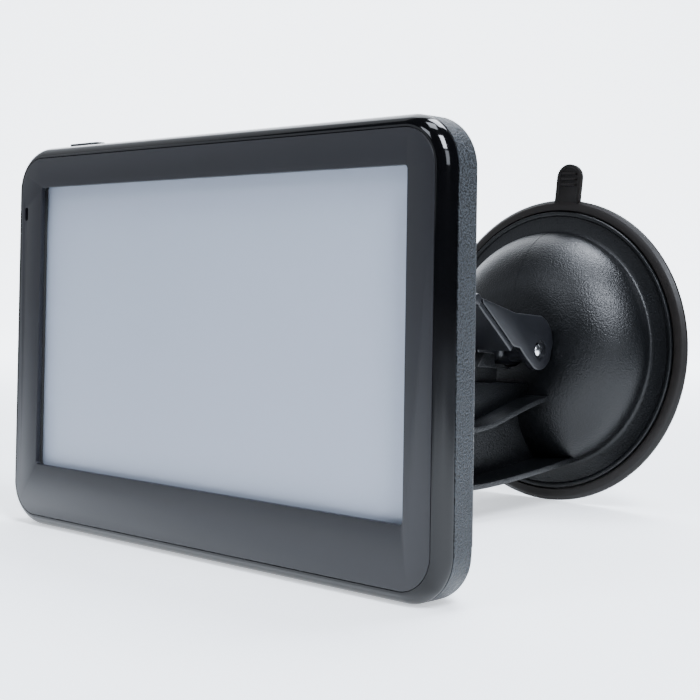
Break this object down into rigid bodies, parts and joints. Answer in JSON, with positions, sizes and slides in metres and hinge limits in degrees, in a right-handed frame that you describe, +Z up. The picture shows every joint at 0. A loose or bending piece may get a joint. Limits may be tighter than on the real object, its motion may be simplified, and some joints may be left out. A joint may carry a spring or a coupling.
{
  "type": "radar detector",
  "caption": "Touchscreen speed camera detector on a windscreen suction mount, with a ball joint, lock collar, flip lever and a slide-off dovetail cradle.",
  "frame": {"origin": "centre of the bounding box, on the surface that the object stands on", "axes": "+X to the right along the screen as its user sees it, +Y from the screen towards the windscreen, +Z up"},
  "size_m": [0.131, 0.1314, 0.0904],
  "materials": {
    "gloss_black": "high gloss",
    "matte_charcoal": "fine matte film",
    "black_foam": "foam",
    "screen_glass": "smooth pale grey screen",
    "pressed_steel": "satin",
    "polyimide_film": "film",
    "circuit_board": "solder mask",
    "battery_foil": "foil",
    "ceramic": "unglazed",
    "black_plastic": "satin",
    "textured_plastic": "spark-eroded grain",
    "dark_steel": "blackened",
    "satin_plastic": "satin",
    "friction_liner": "natural nylon",
    "blasted_plastic": "sand-blasted satin",
    "soft_rubber": "soft satin",
    "polished_steel": "polished"
  },
  "bodies": {
    "base": {"suction_base": "blasted_plastic", "suction_cup": "soft_rubber", "ball_stud": "satin_plastic"},
    "plunger": {"plunger": "satin_plastic", "lever_pin": "polished_steel"},
    "lever": {"lever": "satin_plastic"},
    "ball_roll_body": {"socket_liner": "friction_liner"},
    "ball_tilt_body": {"collar_liner": "friction_liner"},
    "cradle": {"cradle": "satin_plastic"},
    "collar": {"lock_collar": "satin_plastic"},
    "unit": {"front_frame": "gloss_black", "front_fascia": "matte_charcoal", "screen_gasket": "black_foam", "touch_panel": "screen_glass", "lcd_panel": "screen_glass", "lcd_tray": "pressed_steel", "display_ribbon": "polyimide_film", "main_board": "circuit_board", "processor_shield": "pressed_steel", "battery": "battery_foil", "satellite_antenna": "ceramic", "speaker": "black_plastic", "microphone": "pressed_steel", "port_board": "circuit_board", "usb_socket": "pressed_steel", "card_socket": "pressed_steel", "power_switch": "black_plastic", "rear_cover": "textured_plastic", "case_screw_1": "dark_steel", "case_screw_2": "dark_steel"},
    "button": {"power_button": "black_plastic"}
  },
  "joints": [
    {"name": "ball_roll", "type": "hinge", "parent": "base", "child": "ball_roll_body", "pos_m": [0, -0.03674, 0.0287], "axis": [0, 1, 0], "range_deg": [-90, 90]},
    {"name": "ball_tilt", "type": "hinge", "parent": "ball_roll_body", "child": "ball_tilt_body", "pos_m": [0, -0.03674, 0.0287], "axis": [1, 0, 0], "range_deg": [-20, 20]},
    {"name": "ball_pan", "type": "hinge", "parent": "ball_tilt_body", "child": "cradle", "pos_m": [0, -0.03674, 0.0287], "axis": [0, 0, 1], "range_deg": [-20, 20]},
    {"name": "collar_turn", "type": "hinge", "parent": "cradle", "child": "collar", "pos_m": [0, -0.03674, 0.0287], "axis": [0, 1, 0], "range_deg": [0, 180]},
    {"name": "unit_slide_off", "type": "slide", "parent": "cradle", "child": "unit", "axis": [0, 0, 1], "range_m": [0, 0.042]},
    {"name": "power_press", "type": "slide", "parent": "unit", "child": "button", "axis": [0, 0, -1], "range_m": [0, 0.0004], "stiffness_N_per_m": 2000, "springref_m": -0.0004},
    {"name": "plunger_pull", "type": "slide", "parent": "base", "child": "plunger", "axis": [0, -0.9974, 0.0715], "range_m": [0, 0.0034]},
    {"name": "lever_flip", "type": "hinge", "parent": "plunger", "child": "lever", "pos_m": [0, 0.03674, 0.04098], "axis": [-1, 0, 0], "range_deg": [0, 90]}
  ],
  "couplings": [
    {"joint": "plunger_pull", "follows": "lever_flip", "m_per_rad": 0.0021008}
  ]
}
